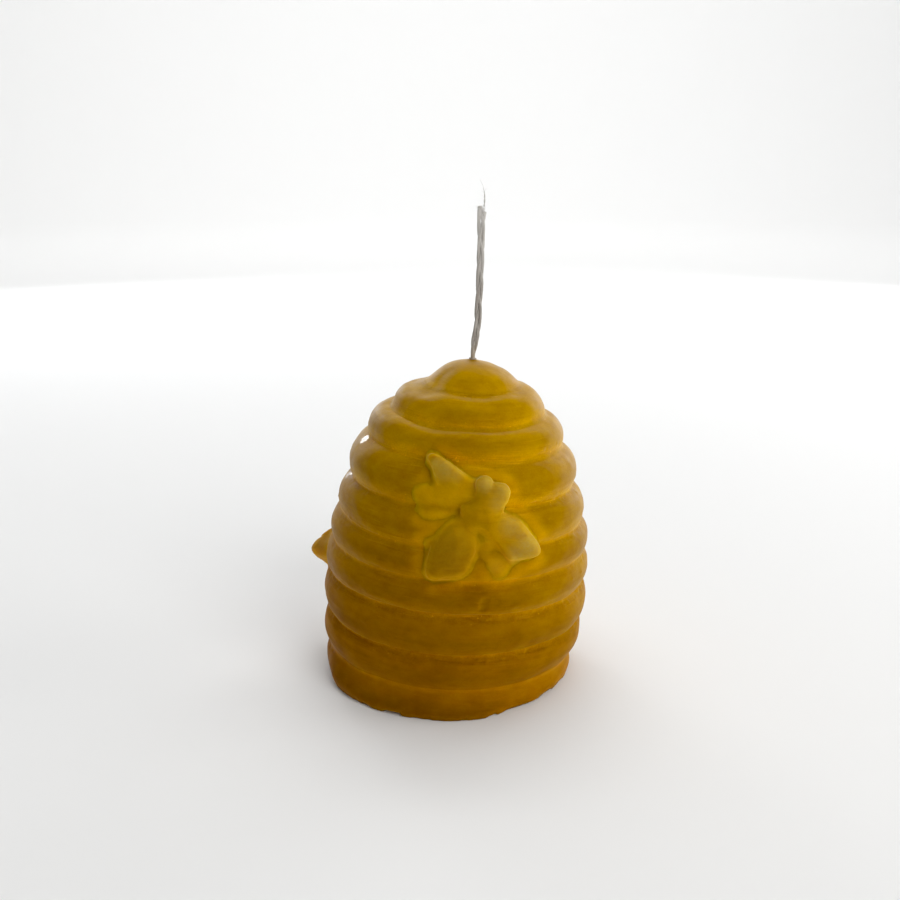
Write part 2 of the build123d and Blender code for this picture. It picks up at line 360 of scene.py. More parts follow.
# underside: flat, drawn in a little round the wick where the wax shrank
under = []
base_ring = W[NR - 1]
centre = np.array([0.0, 0.0, 0.0])
UN = 14
for k in range(1, UN):
    f = 1 - (k / UN) ** 0.92
    ring = base_ring * f
    rr = np.linalg.norm(ring[:, :2], axis=1)
    dish = 0.55 * smooth(24.0, 3.0, rr) + 0.05 * (1 + fbm(ring[:, 0] / 5, ring[:, 1] / 5, 0 * rr, 97, 2)) * smooth(34.0, 31.0, rr)
    ring[:, 2] = np.maximum(dish, 0.0)
    under.append(ring)
under = np.array(under)
base_id = NR * NA
uid = base_id + np.arange((UN - 1) * NA).reshape(UN - 1, NA)
allrings = np.vstack([idx[NR - 1][None], uid])
a = allrings[:-1]
b = allrings[1:]
quads2 = np.stack([a, b, np.roll(b, -1, 1), np.roll(a, -1, 1)], -1).reshape(-1, 4)
pole_low = base_id + (UN - 1) * NA
pole_high = pole_low + 1
pts = np.vstack(
    [
        W.reshape(-1, 3),
        under.reshape(-1, 3),
        [[0, 0, 0.6]],
        to_row(np.array([[0.0, 0.0, BODY_TOP + 0.27]])),
    ]
)
last = uid[-1]
tris = [(int(last[k]), pole_low, int(last[(k + 1) % NA])) for k in range(NA)]
tris += [(int(idx[0][k]), int(idx[0][(k + 1) % NA]), pole_high) for k in range(NA)]
poly = [tuple(int(v) for v in q) for q in quads] + [tuple(int(v) for v in q) for q in quads2] + tris


def carry(ob, name, values):
    """A value for each vertex, which the material reads."""
    at_ = ob.data.attributes.new(name, "FLOAT", "POINT")
    at_.data.foreach_set("value", np.asarray(values, np.float32))


def mesh_object(name, points_mm, polys, mats, shade=True):
    me = bpy.data.meshes.new(name)
    me.from_pydata([tuple(p) for p in np.asarray(points_mm) * MM], [], polys)
    me.update()
    me.validate()
    ob = bpy.data.objects.new(name, me)
    scene.collection.objects.link(ob)
    for m in mats:
        me.materials.append(m)
    if shade:
        me.polygons.foreach_set("use_smooth", [True] * len(me.polygons))
    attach(ob, "root")
    return ob


# ---------------------------------------------------------------------------
# materials
# ---------------------------------------------------------------------------
def node(nt, kind, **values):
    n = nt.nodes.new(kind)
    for k, v in values.items():
        if k in n.inputs:
            n.inputs[k].default_value = v
        else:
            setattr(n, k, v)
    return n


def noise_node(nt, vec, scale, detail=4.0, rough=0.55, distortion=0.0):
    n = nt.nodes.new("ShaderNodeTexNoise")
    n.inputs["Scale"].default_value = scale
    n.inputs["Detail"].default_value = detail
    n.inputs["Roughness"].default_value = rough
    n.inputs["Distortion"].default_value = distortion
    nt.links.new(vec, n.inputs["Vector"])
    return n


def ramp(nt, fac, stops):
    n = nt.nodes.new("ShaderNodeValToRGB")
    e = n.color_ramp.elements
    e[0].position, e[0].color = stops[0][0], (*stops[0][1], 1)
    e[1].position, e[1].color = stops[-1][0], (*stops[-1][1], 1)
    for pos, col in stops[1:-1]:
        x = e.new(pos)
        x.color = (*col, 1)
    nt.links.new(fac, n.inputs["Fac"])
    return n


def mapping(nt, vec, scale):
    n = nt.nodes.new("ShaderNodeMapping")
    n.inputs["Scale"].default_value = scale
    nt.links.new(vec, n.inputs["Vector"])
    return n


def mixc(nt, fac, a, b, mode="MIX"):
    n = nt.nodes.new("ShaderNodeMix")
    n.data_type = "RGBA"
    n.blend_type = mode
    for src, key in ((fac, 0), (a, 6), (b, 7)):
        if isinstance(src, (int, float)):
            n.inputs[key].default_value = src
        elif isinstance(src, tuple):
            n.inputs[key].default_value = (*src, 1)
        else:
            nt.links.new(src, n.inputs[key])
    return n.outputs[2]


def maths(nt, op, a, b=None, clamp=False):
    n = nt.nodes.new("ShaderNodeMath")
    n.operation = op
    n.use_clamp = clamp
    for i, s in enumerate((a, b)):
        if s is None:
            continue
        if isinstance(s, (int, float)):
            n.inputs[i].default_value = s
        else:
            nt.links.new(s, n.inputs[i])
    return n.outputs[0]


PAINTED_LIGHT_GAIN = 0.60


def wax_material(name, deep, mid, pale, frost_and_highlight, sss, rough, gloss):
    m = bpy.data.materials.new(name)
    m.use_nodes = True
    nt = m.node_tree
    nt.nodes.clear()
    out = nt.nodes.new("ShaderNodeOutputMaterial")
    bs = nt.nodes.new("ShaderNodeBsdfPrincipled")
    nt.links.new(bs.outputs[0], out.inputs["Surface"])
    geo = nt.nodes.new("ShaderNodeTexCoord")
    lean = nt.nodes.new("ShaderNodeMapping")
    lean.vector_type = "POINT"
    lean.inputs["Rotation"].default_value = (0, -LEAN, 0)
    nt.links.new(geo.outputs["Object"], lean.inputs["Vector"])
    vec = lean.outputs[0]
    seam_a = nt.nodes.new("ShaderNodeAttribute")
    seam_a.attribute_name = "seam"
    bloom_and_highlight_a = nt.nodes.new("ShaderNodeAttribute")
    bloom_and_highlight_a.attribute_name = "bloom_and_highlight"
    seam_and_shade_v, bloom_and_highlight_v = seam_a.outputs["Fac"], bloom_and_highlight_a.outputs["Fac"]
    # slow clouds in the wax
    cloud = noise_node(nt, mapping(nt, vec, (42, 42, 70)).outputs[0], 1.0, 4.0, 0.55, 0.4)
    blot = noise_node(nt, mapping(nt, vec, (260, 260, 380)).outputs[0], 1.0, 3.0, 0.55, 0.2)
    fac = maths(nt, "ADD", maths(nt, "MULTIPLY", cloud.outputs["Fac"], 0.62), maths(nt, "MULTIPLY", blot.outputs["Fac"], 0.38))
    col = ramp(nt, fac, [(0.36, deep), (0.5, mid), (0.64, pale)]).outputs["Color"]
    # scrape lines that run level round the coils
    wide = noise_node(nt, mapping(nt, vec, (60, 60, 1100)).outputs[0], 1.0, 2.0, 0.55, 0.15)
    fine = noise_node(nt, mapping(nt, vec, (110, 110, 3000)).outputs[0], 1.0, 2.0, 0.5, 0.1)
    where = noise_node(nt, mapping(nt, vec, (75, 75, 110)).outputs[0], 1.0, 2.0, 0.5, 0.0)
    how = nt.nodes.new("ShaderNodeMapRange")
    how.inputs["From Min"].default_value = 0.42
    how.inputs["From Max"].default_value = 0.62
    how.inputs["To Min"].default_value = 0.05
    how.inputs["To Max"].default_value = 0.45
    nt.links.new(where.outputs["Fac"], how.inputs["Value"])
    amount = maths(nt, "ADD", how.outputs[0], maths(nt, "MULTIPLY", seam_and_shade_v, 0.75), clamp=True)
    dark_line = ramp(nt, wide.outputs["Fac"], [(0.34, (0.80, 0.74, 0.66)), (0.46, (1, 1, 1)), (0.62, (1, 1, 1))]).outputs["Color"]
    col = mixc(nt, amount, col, mixc(nt, 1.0, col, dark_line, "MULTIPLY"))
    light_line = nt.nodes.new("ShaderNodeMapRange")
    light_line.inputs["From Min"].default_value = 0.60
    light_line.inputs["From Max"].default_value = 0.74
    nt.links.new(fine.outputs["Fac"], light_line.inputs["Value"])
    col = mixc(nt, maths(nt, "MULTIPLY", maths(nt, "MULTIPLY", light_line.outputs[0], amount), 0.42), col, tuple(min(1, c * 1.7 + 0.012) for c in pale))
    # grain in the rough bands under the lips, with painted shade in those bands and light crumbs
    grain = noise_node(nt, mapping(nt, vec, (2100, 2100, 2100)).outputs[0], 1.0, 2.0, 0.6)
    # painted shade: the band under each lip is darkened
    col = mixc(nt, maths(nt, "MULTIPLY", seam_and_shade_v, 0.35), col, mixc(nt, 1.0, col, (0.76, 0.68, 0.6), "MULTIPLY"))
    g_dark = ramp(nt, grain.outputs["Fac"], [(0.36, (0.80, 0.76, 0.7)), (0.52, (1, 1, 1)), (0.7, (1.0, 1.0, 1.0))]).outputs["Color"]
    g_amt = maths(nt, "ADD", maths(nt, "MULTIPLY", seam_and_shade_v, 0.6), 0.30, clamp=True)
    col = mixc(nt, g_amt, col, mixc(nt, 1.0, col, g_dark, "MULTIPLY"))
    # light specks: crumbs of wax, partly painted glints
    speck = noise_node(nt, mapping(nt, vec, (900, 900, 1500)).outputs[0], 1.0, 2.0, 0.6)
    s_amt = nt.nodes.new("ShaderNodeMapRange")
    s_amt.inputs["From Min"].default_value = 0.66
    s_amt.inputs["From Max"].default_value = 0.76
    nt.links.new(speck.outputs["Fac"], s_amt.inputs["Value"])
    col = mixc(nt, maths(nt, "MULTIPLY", s_amt.outputs[0], maths(nt, "ADD", maths(nt, "MULTIPLY", seam_and_shade_v, 0.55), 0.10)), col, tuple(min(1, c * 1.9 + 0.015) for c in pale))
    # wax that stands free is painted paler: a dry bloom, partly a painted highlight on the thin proud parts
    powder = noise_node(nt, mapping(nt, vec, (1700, 1700, 1700)).outputs[0], 1.0, 3.0, 0.65)
    p_amt = nt.nodes.new("ShaderNodeMapRange")
    p_amt.inputs["From Min"].default_value = 0.35
    p_amt.inputs["From Max"].default_value = 0.62
    p_amt.inputs["To Min"].default_value = 0.62
    p_amt.inputs["To Max"].default_value = 1.0
    nt.links.new(powder.outputs["Fac"], p_amt.inputs["Value"])
    col = mixc(nt, maths(nt, "MULTIPLY", bloom_and_highlight_v, p_amt.outputs[0]), col, frost_and_highlight)
    # painted light and shade: the 'deep' attribute lightens grooves, undersides and corners and darkens crests
    painted_light_a = nt.nodes.new("ShaderNodeAttribute")
    painted_light_a.attribute_name = "deep"
    gain = nt.nodes.new("ShaderNodeVectorMath")
    gain.operation = "SCALE"
    nt.links.new(col, gain.inputs[0])
    nt.links.new(maths(nt, "ADD", 1.0, maths(nt, "MULTIPLY", painted_light_a.outputs["Fac"], PAINTED_LIGHT_GAIN)), gain.inputs["Scale"])
    # painted light and shade: the wax is darker and redder towards the foot and lighter towards the top
    sep_z = nt.nodes.new("ShaderNodeSeparateXYZ")
    nt.links.new(vec, sep_z.inputs[0])
    painted_light_ramp = nt.nodes.new("ShaderNodeMapRange")
    painted_light_ramp.inputs["From Min"].default_value = 0.014
    painted_light_ramp.inputs["From Max"].default_value = 0.074
    nt.links.new(sep_z.outputs["Z"], painted_light_ramp.inputs["Value"])
    # and painted lighter down its right side, the lit side
    thin = nt.nodes.new("ShaderNodeMapRange")
    thin.inputs["From Min"].default_value = 0.006
    thin.inputs["From Max"].default_value = 0.034
    thin.inputs["To Max"].default_value = 0.40
    nt.links.new(sep_z.outputs["X"], thin.inputs["Value"])
    raised = nt.nodes.new("ShaderNodeMapRange")
    raised.inputs["From Min"].default_value = 0.003
    raised.inputs["From Max"].default_value = 0.020
    nt.links.new(sep_z.outputs["Z"], raised.inputs["Value"])
    painted_light_ramp = maths(nt, "ADD", maths(nt, "POWER", painted_light_ramp.outputs[0], 1.14), maths(nt, "MULTIPLY", thin.outputs[0], raised.outputs[0]), clamp=True)
    painted_light_tint = mixc(nt, painted_light_ramp, (0.79, 0.66, 1.0), (1.16, 1.31, 1.0))
    nt.links.new(mixc(nt, 1.0, gain.outputs[0], painted_light_tint, "MULTIPLY"), bs.inputs["Base Color"])
    # roughness: satin, duller where the wax is grainy
    rr = nt.nodes.new("ShaderNodeMapRange")
    rr.inputs["From Min"].default_value = 0.3
    rr.inputs["From Max"].default_value = 0.7
    rr.inputs["To Min"].default_value = rough - 0.06
    rr.inputs["To Max"].default_value = rough + 0.10
    nt.links.new(noise_node(nt, mapping(nt, vec, (160, 160, 420)).outputs[0], 1.0, 4.0, 0.6).outputs["Fac"], rr.inputs["Value"])
    nt.links.new(maths(nt, "ADD", rr.outputs[0], maths(nt, "MULTIPLY", seam_and_shade_v, 0.18), clamp=True), bs.inputs["Roughness"])
    bs.inputs["IOR"].default_value = 1.44
    # gloss is weak face on and grows towards grazing, most of all high up
    # where the skin is driest
    up_g = nt.nodes.new("ShaderNodeMapRange")
    up_g.inputs["From Min"].default_value = 0.020
    up_g.inputs["From Max"].default_value = 0.078
    nt.links.new(sep_z.outputs["Z"], up_g.inputs["Value"])
    up_g = up_g.outputs[0]
    lw = nt.nodes.new("ShaderNodeLayerWeight")
    lw.inputs["Blend"].default_value = 0.35
    spec = nt.nodes.new("ShaderNodeMapRange")
    spec.inputs["From Min"].default_value = 0.30
    spec.inputs["From Max"].default_value = 0.85
    spec.inputs["To Min"].default_value = 0.0
    spec.inputs["To Max"].default_value = gloss
    nt.links.new(lw.outputs["Facing"], spec.inputs["Value"])
    nt.links.new(maths(nt, "MULTIPLY", spec.outputs[0], maths(nt, "ADD", 0.10, maths(nt, "MULTIPLY", up_g, 0.90))), bs.inputs["Specular IOR Level"])
    haze = nt.nodes.new("ShaderNodeMapRange")
    haze.inputs["From Min"].default_value = 0.28
    haze.inputs["From Max"].default_value = 0.75
    haze.inputs["To Max"].default_value = 0.30 * gloss
    nt.links.new(lw.outputs["Facing"], haze.inputs["Value"])
    nt.links.new(maths(nt, "MULTIPLY", up_g, haze.outputs[0]), bs.inputs["Sheen Weight"])
    bs.inputs["Sheen Roughness"].default_value = 0.5
    bs.inputs["Sheen Tint"].default_value = (1.0, 0.95, 0.88, 1)
    # wet-looking spots where the wax set against the mould
    wet_a = nt.nodes.new("ShaderNodeAttribute")
    wet_a.attribute_name = "wet"
    nt.links.new(wet_a.outputs["Fac"], bs.inputs["Coat Weight"])
    bs.inputs["Coat Roughness"].default_value = 0.13
    bs.inputs["Coat IOR"].default_value = 1.5
    bs.inputs["Subsurface Weight"].default_value = sss
    bs.inputs["Subsurface Radius"].default_value = (1.0, 0.8, 0.15)
    bs.inputs["Subsurface Scale"].default_value = 0.0055
    # fine skin of the casting: hairlines with the coils and a soft orange-peel
    b1 = nt.nodes.new("ShaderNodeBump")
    b1.inputs["Strength"].default_value = 0.5
    b1.inputs["Distance"].default_value = 0.00016
    nt.links.new(wide.outputs["Fac"], b1.inputs["Height"])
    b2 = nt.nodes.new("ShaderNodeBump")
    b2.inputs["Strength"].default_value = 0.35
    b2.inputs["Distance"].default_value = 0.00016
    nt.links.new(grain.outputs["Fac"], b2.inputs["Height"])
    nt.links.new(b1.outputs[0], b2.inputs["Normal"])
    nt.links.new(b2.outputs[0], bs.inputs["Normal"])
    return m


def cotton_material(name, dark, light, scale):
    m = bpy.data.materials.new(name)
    m.use_nodes = True
    nt = m.node_tree
    nt.nodes.clear()
    out = nt.nodes.new("ShaderNodeOutputMaterial")
    bs = nt.nodes.new("ShaderNodeBsdfPrincipled")
    nt.links.new(bs.outputs[0], out.inputs["Surface"])
    geo = nt.nodes.new("ShaderNodeTexCoord")
    vec = geo.outputs["Object"]
    sep = nt.nodes.new("ShaderNodeSeparateXYZ")
    nt.links.new(vec, sep.inputs[0])
    fibre = noise_node(nt, mapping(nt, vec, (9000, 9000, 700)).outputs[0], 1.0, 3.0, 0.6)
    blotch = noise_node(nt, mapping(nt, vec, (900, 900, 160)).outputs[0], 1.0, 3.0, 0.5)
    fac = maths(nt, "ADD", maths(nt, "MULTIPLY", fibre.outputs["Fac"], 0.6), maths(nt, "MULTIPLY", blotch.outputs["Fac"], 0.4))
    base = ramp(nt, fac, [(0.34, dark), (0.62, light)])
    # whiter and drier towards the cut end, a trace of wax near the dome
    up = nt.nodes.new("ShaderNodeMapRange")
    up.inputs["From Min"].default_value = 0.106
    up.inputs["From Max"].default_value = 0.130
    nt.links.new(sep.outputs["Z"], up.inputs["Value"])
    c1 = mixc(nt, maths(nt, "MULTIPLY", up.outputs[0], 0.75), base.outputs["Color"], (0.60, 0.58, 0.55))
    low = nt.nodes.new("ShaderNodeMapRange")
    low.inputs["From Min"].default_value = 0.0945
    low.inputs["From Max"].default_value = 0.0895
    nt.links.new(sep.outputs["Z"], low.inputs["Value"])
    c2 = mixc(nt, maths(nt, "MULTIPLY", low.outputs[0], 0.55), c1, (0.30, 0.20, 0.08))
    nt.links.new(c2, bs.inputs["Base Color"])
    bs.inputs["Roughness"].default_value = 0.85
    bs.inputs["Sheen Weight"].default_value = 0.35
    bs.inputs["Sheen Roughness"].default_value = 0.5
    bs.inputs["Subsurface Weight"].default_value = 0.15
    bs.inputs["Subsurface Radius"].default_value = (1, 0.9, 0.8)
    bs.inputs["Subsurface Scale"].default_value = 0.0006
    bmp = nt.nodes.new("ShaderNodeBump")
    bmp.inputs["Strength"].default_value = 0.5
    bmp.inputs["Distance"].default_value = 0.00006
    nt.links.new(fibre.outputs["Fac"], bmp.inputs["Height"])
    nt.links.new(bmp.outputs[0], bs.inputs["Normal"])
    return m


# pale bloom colour, partly a painted highlight
FROST_AND_HIGHLIGHT = (0.345, 0.225, 0.045)
wax = wax_material("beeswax", (0.286, 0.127, 0.0), (0.336, 0.159, 0.0), (0.392, 0.193, 0.0), FROST_AND_HIGHLIGHT, 0.9, 0.47, 0.5)
bee_wax = wax_material("bee_wax", (0.308, 0.152, 0.0), (0.345, 0.176, 0.0), (0.385, 0.202, 0.001), FROST_AND_HIGHLIGHT, 0.9, 0.5, 0.12)
cotton = cotton_material("wick_cotton", (0.19, 0.165, 0.138), (0.45, 0.42, 0.385), 1.0)
yarn = cotton_material("yarn_cotton", (0.34, 0.318, 0.288), (0.62, 0.60, 0.565), 1.0)

body = mesh_object("wax_hive", pts, poly, [wax])
# the seam mask also holds the painted shade in the band under each lip
seam_and_shade_all = np.zeros(len(pts))
seam_and_shade_all[: NR * NA] = (np.clip(0.50 * seam * upper + 0.55 * band, 0, 1) * top_fade).ravel()
carry(body, "seam", seam_and_shade_all)
carry(body, "bloom_and_highlight", np.zeros(len(pts)))
LEE_GAIN = 1.05
# painted light: wax deep between two coils is painted lighter and the crests darker, against the shade in the grooves
pad = 60
Rp = np.pad(R2, ((pad, pad), (0, 0)), mode="edge")
fine_s = np.arange(0, span[-1] + 0.001, 0.3)
Rf = np.stack([np.interp(fine_s, span, R2[:, k]) for k in range(NA)], 1)
reach_ = np.arange(-22, 23)
kern = np.exp(-0.5 * (reach_ * 0.3 / 2.6) ** 2)
kern /= kern.sum()
Rpad = np.pad(Rf, ((22, 22), (0, 0)), mode="edge")
env = sum(k_ * Rpad[22 + j_: 22 + j_ + len(fine_s)] for k_, j_ in zip(kern, reach_))
slope = np.gradient(env, 0.3, axis=0)
depth_f = (env - Rf) / np.sqrt(1 + slope ** 2)
# painted light: the undersides of the coils are painted lighter
Zf = np.stack([np.interp(fine_s, span, Z[:, k]) for k in range(NA)], 1)
dz = np.gradient(Zf, 0.3, axis=0)
up_f = np.gradient(Rf, 0.3, axis=0)
up_f = up_f / np.sqrt(up_f ** 2 + dz ** 2 + 1e-9)
up_e = slope / np.sqrt(slope ** 2 + dz ** 2 + 1e-9)
lee = up_e - up_f
kern2 = np.exp(-0.5 * (np.arange(-4, 5) * 0.3 / 0.45) ** 2)
kern2 /= kern2.sum()
lee_p = np.pad(lee, ((4, 4), (0, 0)), mode="edge")
lee = sum(k_ * lee_p[j_: j_ + len(fine_s)] for j_, k_ in enumerate(kern2))
depth_f = 0.55 * depth_f + LEE_GAIN * lee * (0.95 + 0.45 * smooth(38.0, 58.0, Zf))
painted_light_v = np.stack([np.interp(span, fine_s, depth_f[:, k]) for k in range(NA)], 1)
# painted light: each low coil is painted lighter just under the groove and darker at its lip
for i in range(1, len(GROOVES)):
    on = COIL[:, 0] == i
    if on.any():
        t_ = LIP[on] / LIP[on].max()
        painted_light_v[on] += (0.0, 0.0, 0.05, 0.12, 0.2, 0.28, 0.36, 0.38, 0.30)[min(i, 8)] * np.cos(math.pi * t_)
# painted light: the foot's band is painted lighter
painted_light_v += 0.30 * smooth(9.0, 1.5, height_foot)
painted_light_all = np.zeros(len(pts))
painted_light_all[: NR * NA] = (np.clip(painted_light_v, -0.8, 1.6) * top_fade * smooth(span[-1] - 0.5, span[-1] - 3.0, span)[:, None]).ravel()
carry(body, "deep", painted_light_all)
shiny = np.zeros(len(pts))
for spot, long_, wide_ in (
    ((-22.1, -7.1, 68.6), 2.3, 1.5), ((-27.0, -1.6, 57.9), 2.2, 1.7),
    ((20.5, 12.0, 67.0), 1.6, 1.0), ((12.0, 24.0, 69.0), 1.9, 1.1), ((-10.5, 28.5, 56.0), 1.6, 1.1),
):
    rel = pts - np.array(spot)
    along_ = np.hypot(rel[:, 0], rel[:, 1]) / long_
    shiny = np.maximum(shiny, np.exp(-(along_ ** 2 + (rel[:, 2] / wide_) ** 2)))
ruffle = fbm(pts[:, 0] / 1.1, pts[:, 1] / 1.1, pts[:, 2] / 1.6, 111, 2)
carry(body, "wet", smooth(0.30, 0.62, shiny * (1 + 1.1 * ruffle)))
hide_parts("wax_body")

# ---------------------------------------------------------------------------
# bees: relief modelled as a signed distance field over each bee's seat, melted
# a little into the coils, and drawn out by surface nets
# ---------------------------------------------------------------------------
SEATS = {
    "front": (7.5, 52.0, 34.3, 16.5, 0.0),
    "left": (-113.0, 28.0, 37.5, -1.5, 28.0),
    "back": (139.0, 46.0, 36.3, 12.5, -40.0),
}
FORE_L = [(-2.2, 9.3), (-5.0, 7.4), (-8.4, 6.6), (-9.7, 9.9), (-11.1, 12.2), (-11.9, 14.6),
          (-12.6, 16.6), (-13.5, 18.4), (-13.45, 19.4), (-12.7, 19.85), (-11.6, 19.55),
          (-9.4, 18.2), (-6.7, 16.3), (-4.2, 14.3), (-1.9, 13.2)]
FORE_R = [(0.4, 1.3), (2.0, -0.6), (4.7, -3.2), (6.9, -5.9), (8.0, -6.75), (10.4, -6.0),
          (12.4, -5.6), (14.2, -5.2), (15.2, -4.4), (15.45, -3.3), (14.9, -2.1), (13.8, -0.9),
          (12.2, 0.8), (10.9, 2.3), (9.7, 3.5), (8.0, 4.3), (6.2, 4.7), (3.0, 6.0)]
HIND_L = [(-5.0, 6.0), (-8.5, 4.9), (-11.0, 3.9), (-12.9, 3.8), (-14.4, 4.8), (-15.4, 6.6),
          (-16.1, 8.6), (-16.2, 10.4), (-14.8, 11.3), (-13.2, 10.5), (-12.0, 8.9), (-8.0, 8.4)]
HIND_R = [(0.8, -2.0), (1.0, -5.0), (1.4, -7.2), (2.3, -9.2), (3.9, -10.5), (5.6, -10.7),
          (7.0, -9.7), (8.0, -7.8), (6.4, -4.6), (3.6, -1.6)]
ABDOMEN = [(-6.0, 2.65), (-7.5, 2.6), (-8.7, 1.7), (-10.5, -0.5), (-11.8, -3.1), (-12.7, -5.8),
           (-13.15, -8.4), (-13.1, -10.3), (-12.3, -11.45), (-10.8, -11.8), (-8.5, -11.25),
           (-5.6, -11.0), (-3.9, -10.3), (-2.7, -8.9), (-1.7, -6.8), (-1.05, -4.6),
           (-0.9, -2.0), (-1.8, -0.2), (-3.4, 1.1), (-4.7, 2.1)]


def rounded(points, times=2):
    p = np.array(points, float)
    for _ in range(times):  # Chaikin's corner cutting
        q = np.roll(p, -1, 0)
        p = np.stack([p * 0.75 + q * 0.25, p * 0.25 + q * 0.75], 1).reshape(-1, 2)
    return p


def polygon_distance(points, u, v):
    p = rounded(points)
    q = np.roll(p, -1, 0)
    best = np.full(u.shape, 1e9)
    inside = np.zeros(u.shape, bool)
    for (x0, y0), (x1, y1) in zip(p, q):
        ex, ey = x1 - x0, y1 - y0
        t = np.clip(((u - x0) * ex + (v - y0) * ey) / (ex * ex + ey * ey + 1e-12), 0, 1)
        best = np.minimum(best, (u - x0 - t * ex) ** 2 + (v - y0 - t * ey) ** 2)
        cross = (y0 > v) != (y1 > v)
        with np.errstate(divide="ignore", invalid="ignore"):
            xi = x0 + (v - y0) * ex / np.where(ey == 0, 1e-12, ey)
        inside ^= cross & (u < xi)
    return np.where(inside, -1, 1) * np.sqrt(best)


def smin(a, b, k):
    h = np.clip(k - np.abs(a - b), 0, None) / k
    return np.minimum(a, b) - h * h * k * 0.25


def smax(a, b, k):
    return -smin(-a, -b, k)


def ridge(u, v, x0, y0, x1, y1, w):
    ex, ey = x1 - x0, y1 - y0
    t = np.clip(((u - x0) * ex + (v - y0) * ey) / (ex * ex + ey * ey), 0, 1)
    dd = np.sqrt((u - x0 - t * ex) ** 2 + (v - y0 - t * ey) ** 2)
    return np.exp(-((dd / w) ** 2))


def ellipsoid(u, v, n, c, long, wide, high, angle):
    k = math.radians(angle)
    x = (u - c[0]) * math.cos(k) + (v - c[1]) * math.sin(k)
    y = -(u - c[0]) * math.sin(k) + (v - c[1]) * math.cos(k)
    z = n - c[2]
    q = np.sqrt((x / long) ** 2 + (y / wide) ** 2 + (z / high) ** 2) + 1e-9
    return (q - 1) * min(long, wide, high) * 0.5 * (1 + q / (q + 0.2))


def pillow(depth, reach):
    """0 at an outline, 1 well inside it, with a round shoulder."""
    return 1 - np.exp(-np.clip(depth, 0, None) / reach)


def bee_relief(u, v):
    """The flat pieces of a bee: for each, its signed outline and its top."""
    dl = polygon_distance(FORE_L, u, v)
    dr_ = polygon_distance(FORE_R, u, v)
    hl = polygon_distance(HIND_L, u, v)
    hr = polygon_distance(HIND_R, u, v)
    ab = polygon_distance(ABDOMEN, u, v)
    # fore wing on the left: stands free at its tip, sinks into the coils below
    tip_l = smooth(8.0, 17.5, v - 0.25 * (u + 8))
    top_l = -1.15 + 0.75 * pillow(-dl, 1.2) + 1.75 * tip_l + 0.55 * ridge(u, v, -12.5, 19.0, -2.2, 13.9, 1.9)
    top_l = top_l - 0.45 * ridge(u, v, -10.0, 11.0, -3.8, 8.6, 1.3) + 0.20 * ridge(u, v, -9.6, 14.5, -4.6, 9.6, 0.6)
    # fore wing on the right: two lobes with a crease, and a ridge behind
    top_r = -0.15 + 0.75 * pillow(-dr_, 1.3) + 0.55 * smooth(7.5, 14.0, u)
    top_r = top_r + 0.75 * ridge(u, v, -0.5, 4.2, 7.6, -5.9, 1.15)
    top_r = top_r - 0.42 * ridge(u, v, 5.0, -0.4, 12.4, -0.1, 0.75) - 0.25 * ridge(u, v, 3.6, -0.6, 9.6, -4.6, 0.9)
    # hind wings: low lobes
    top_hl = -2.55 + 0.60 * pillow(-hl, 1.2) + 0.85 * ridge(u, v, -16.0, 10.0, -14.0, 5.4, 1.5) + 0.75 * ridge(u, v, -14.0, 5.4, -8.5, 4.0, 1.3)
    top_hr = -1.35 + 0.80 * pillow(-hr, 1.4) + 0.25 * ridge(u, v, 2.5, -6.0, 5.6, -9.6, 1.0)
    # abdomen: a full drop
    top_a = -0.30 + 2.35 * pillow(-ab, 2.1) + 0.18 * ridge(u, v, -8.5, -10.8, -5.6, 1.2, 2.2)
    top_a = top_a - 0.10 * ridge(u, v, -12.4, -4.4, -2.0, -3.6, 0.5) - 0.10 * ridge(u, v, -12.9, -7.6, -2.4, -7.0, 0.5)
    return dl, top_l, dr_, top_r, hl, top_hl, hr, top_hr, ab, top_a


def bee_field(u, v, n, relief, db, sink):
    """u and v are planes of shape (nu, nv, 1), n runs along the last axis."""
    dl, top_l, dr_, top_r, hl, top_hl, hr, top_hr, ab, top_a = (r[..., None] for r in relief)
    wing_l = smax(dl - 0.25, (n - top_l) * 0.95, 1.5)
    wing_r = smax(dr_ - 0.35, (n - top_r) * 0.92, 1.7)
    # the hind wings and the root of the fore wing lie thin on the coils
    wing_l = smax(wing_l, db - 0.42 - 3.2 * smooth(9.0, 15.5, v - 0.25 * (u + 8)), 1.2)
    hind_l = smax(smax(hl - 0.45, n - top_hl, 2.2), db - 0.36, 1.2)
    hind_r = smax(smax(hr - 0.30, n - top_hr, 1.8), db - 0.55, 1.0)
    abdomen = smax(ab - 0.40, (n - top_a) * 0.88, 2.0)
    n = n + sink
    thorax = ellipsoid(u, v, n, (1.0, 6.8, 0.1), 4.9, 3.9, 3.0, 58)
    brow = ellipsoid(u, v, n, (2.4, 9.9, 0.9), 4.0, 2.7, 2.4, -20)
    eye1 = ellipsoid(u, v, n, (0.25, 12.75, 1.2), 2.25, 2.15, 2.1, 0)
    eye2 = ellipsoid(u, v, n, (4.35, 11.15, 1.2), 2.45, 2.2, 2.1, -10)
    waist = ellipsoid(u, v, n, (-3.0, 3.2, -0.8), 3.2, 2.3, 1.9, 50)
    scutum = ellipsoid(u, v, n, (-1.6, 4.7, -0.5), 4.3, 1.9, 2.2, -28)
    lobe = smax(ellipsoid(u, v, n, (-12.6, -3.3, -2.9), 1.6, 1.2, 1.5, 70), db - 0.4, 0.6)
    head = smin(smin(eye1, eye2, 0.8), brow, 0.9)
    torso = smin(smin(thorax, scutum, 2.0), head, 1.4)
    f = smin(torso, wing_r, 2.4)
    f = smin(f, wing_l, 1.3)
    f = smin(f, hind_l, 2.0)
    f = smin(f, hind_r, 1.0)
    f = smin(f, waist, 1.2)
    f = smin(f, abdomen, 0.9)
    return smin(f, lobe, 0.8)


